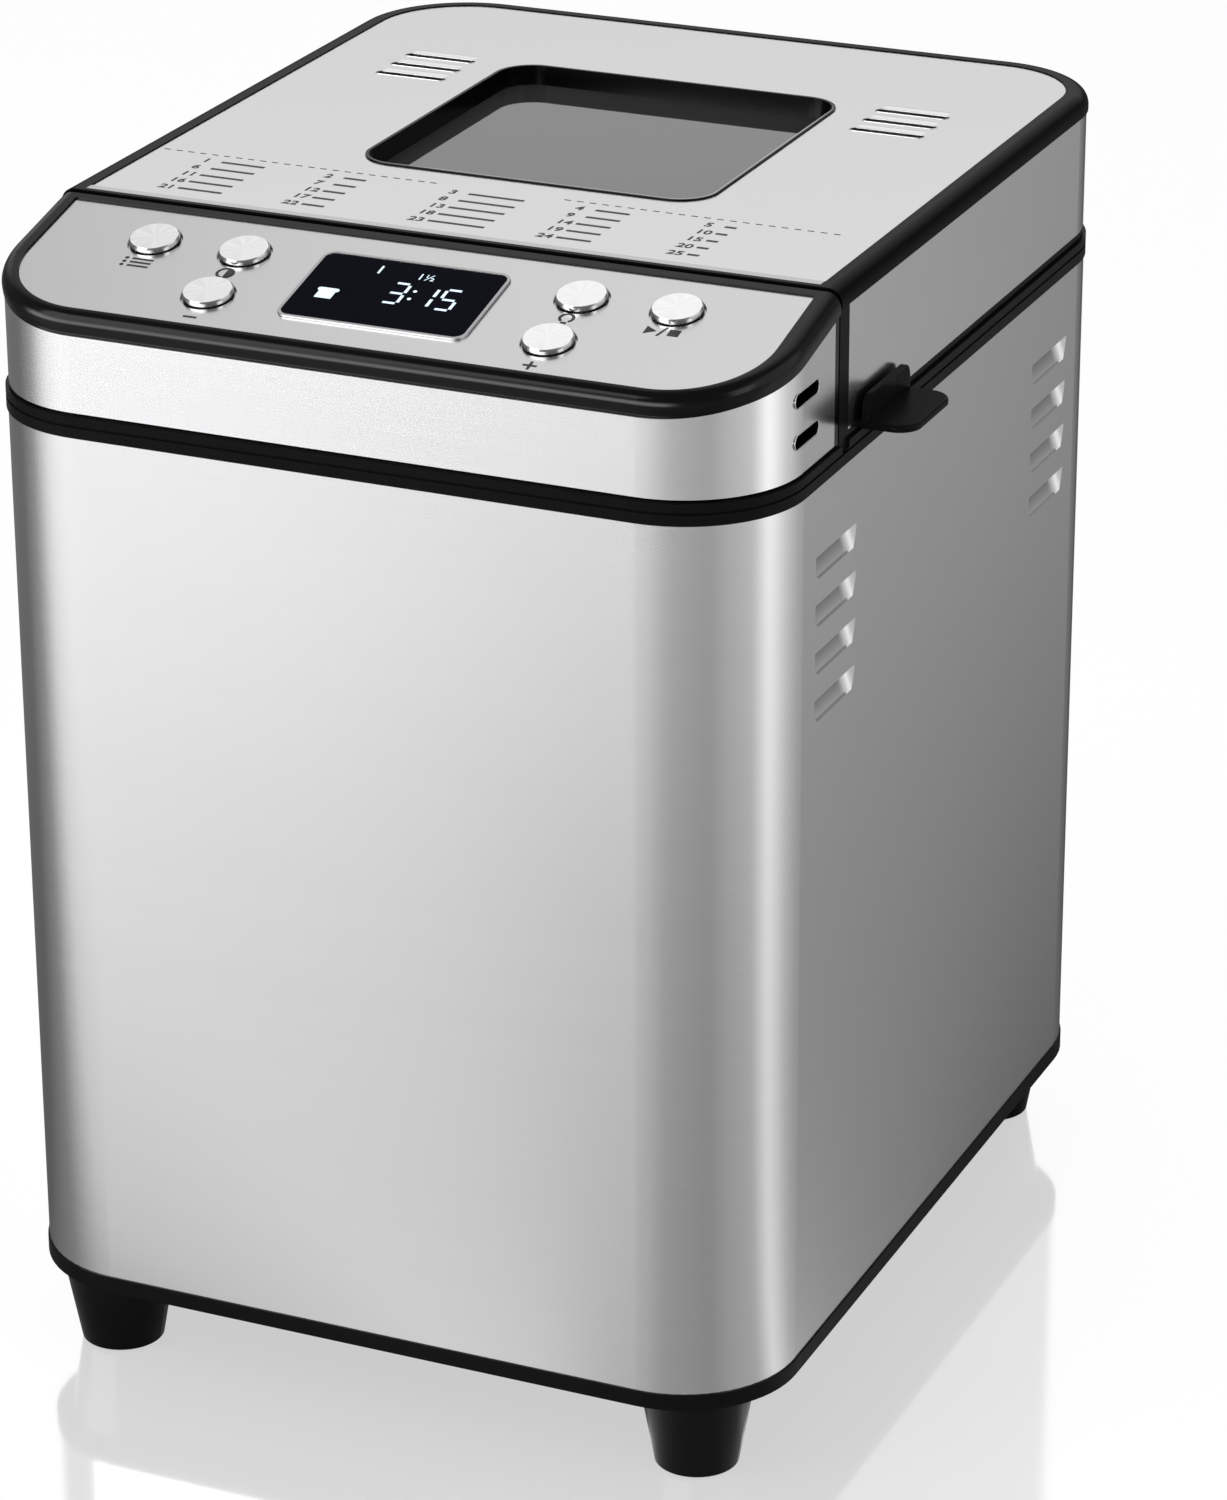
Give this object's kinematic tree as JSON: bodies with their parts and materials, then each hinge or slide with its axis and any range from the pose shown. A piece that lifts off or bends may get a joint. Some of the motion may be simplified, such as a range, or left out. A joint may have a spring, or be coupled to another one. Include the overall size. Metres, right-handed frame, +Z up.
{
  "type": "bread machine",
  "caption": "Upright bread machine with a brushed steel case, sloped console with round buttons and a display, hinged windowed lid, lift-out pan and belt-driven kneading paddle.",
  "frame": {"origin": "on the worktop, under the middle of the case's plan", "axes": "+X to the machine's right as seen from the front, +Y to its back, +Z up; the console faces -Y"},
  "size_m": [0.2359, 0.2722, 0.3203],
  "materials": {
    "steel_wrap": "fine level brushing",
    "steel_skin": "fine level brushing",
    "steel_plate": "fine brushing",
    "button_metal": "spun",
    "black_satin": "satin",
    "black_gloss": "gloss",
    "rubber": "matt",
    "screw_steel": "plated",
    "oven_metal": "satin",
    "element_sheath": "dull",
    "ceramic": "matt",
    "socket_alloy": "cast",
    "bearing_brass": "turned",
    "motor_paint": "satin",
    "shaft_steel": "ground",
    "pulley_plastic": "moulded",
    "component_plastic": "moulded",
    "circuit_board": "coated",
    "lamp_white": "clear over white",
    "bright_trim": "polished",
    "display_panel": "gloss",
    "window_pane": "clear",
    "pan_coating": "non-stick"
  },
  "bodies": {
    "housing": {"base_tray": "black_satin", "chamber_lamp": "lamp_white", "chassis_plate": "oven_metal", "chassis_screws": "screw_steel", "collar": "black_satin", "console_frame": "black_gloss", "console_skin": "steel_skin", "control_board": "circuit_board", "control_plate": "steel_plate", "cord_gland": "rubber", "deck_screws": "screw_steel", "display_bezel": "bright_trim", "display_lens": "display_panel", "drive_bearing": "bearing_brass", "drive_belt": "rubber", "element_bushings": "ceramic", "feet": "black_gloss", "foot_pads": "rubber", "foot_screws": "screw_steel", "heating_element": "element_sheath", "hinge_pins": "screw_steel", "housing_wrap": "steel_wrap", "lcd_module": "component_plastic", "motor": "motor_paint", "oven_chamber": "oven_metal", "pan_socket": "socket_alloy", "power_board": "circuit_board", "power_components": "component_plastic", "run_capacitor": "component_plastic", "tact_switches": "component_plastic", "temperature_sensor": "element_sheath", "thermal_fuse": "component_plastic"},
    "lid": {"lid_frame": "black_satin", "lid_skin": "steel_skin", "lid_rim": "black_gloss", "lid_plate": "steel_plate", "window_bezel": "black_gloss", "window_glass": "window_pane", "inner_glass": "window_pane", "lid_liner": "oven_metal", "lid_seal": "rubber", "lid_handle": "black_satin", "lid_screws": "screw_steel"},
    "program_button": {"button_program": "button_metal"},
    "colour_button": {"button_colour": "button_metal"},
    "minus_button": {"button_minus": "button_metal"},
    "light_button": {"button_light": "button_metal"},
    "plus_button": {"button_plus": "button_metal"},
    "start_button": {"button_start": "button_metal"},
    "drive": {"drive_shaft": "shaft_steel", "drive_coupler": "socket_alloy", "drive_pulley": "pulley_plastic"},
    "motor_rotor": {"motor_pulley": "shaft_steel"},
    "pan": {"bread_pan": "pan_coating", "pan_base": "socket_alloy", "pan_bearing": "bearing_brass"},
    "bail": {"bail_handle": "bright_trim"},
    "kneader": {"kneading_paddle": "pan_coating", "pan_shaft": "shaft_steel", "wing_coupling": "socket_alloy"}
  },
  "joints": [
    {"name": "lid_hinge", "type": "hinge", "parent": "housing", "child": "lid", "pos_m": [0, 0.1292, 0.2846], "axis": [-1, 0, 0], "range_deg": [0, 85]},
    {"name": "program_press", "type": "slide", "parent": "housing", "child": "program_button", "axis": [0, 0.2334, -0.9724], "range_m": [0, 0.0012], "stiffness_N_per_m": 800},
    {"name": "colour_press", "type": "slide", "parent": "housing", "child": "colour_button", "axis": [0, 0.2334, -0.9724], "range_m": [0, 0.0012], "stiffness_N_per_m": 800},
    {"name": "minus_press", "type": "slide", "parent": "housing", "child": "minus_button", "axis": [0, 0.2334, -0.9724], "range_m": [0, 0.0012], "stiffness_N_per_m": 800},
    {"name": "light_press", "type": "slide", "parent": "housing", "child": "light_button", "axis": [0, 0.2334, -0.9724], "range_m": [0, 0.0012], "stiffness_N_per_m": 800},
    {"name": "plus_press", "type": "slide", "parent": "housing", "child": "plus_button", "axis": [0, 0.2334, -0.9724], "range_m": [0, 0.0012], "stiffness_N_per_m": 800},
    {"name": "start_press", "type": "slide", "parent": "housing", "child": "start_button", "axis": [0, 0.2334, -0.9724], "range_m": [0, 0.0012], "stiffness_N_per_m": 800},
    {"name": "drive_spin", "type": "hinge", "parent": "housing", "child": "drive", "pos_m": [0, 0.0252, 0.05], "axis": [0, 0, 1], "continuous": true},
    {"name": "motor_spin", "type": "hinge", "parent": "housing", "child": "motor_rotor", "pos_m": [0.038, -0.093, 0.05], "axis": [0, 0, 1], "continuous": true},
    {"name": "pan_lift", "type": "slide", "parent": "housing", "child": "pan", "axis": [0, 0, 1], "range_m": [0, 0.04]},
    {"name": "bail_swing", "type": "hinge", "parent": "pan", "child": "bail", "pos_m": [0, 0.0252, 0.218], "axis": [1, 0, 0], "range_deg": [0, 162]},
    {"name": "kneader_spin", "type": "hinge", "parent": "pan", "child": "kneader", "pos_m": [0, 0.0252, 0.1], "axis": [0, 0, 1], "continuous": true}
  ],
  "couplings": [
    {"joint": "motor_spin", "follows": "drive_spin", "ratio": 3.9},
    {"joint": "kneader_spin", "follows": "drive_spin", "ratio": 1}
  ]
}
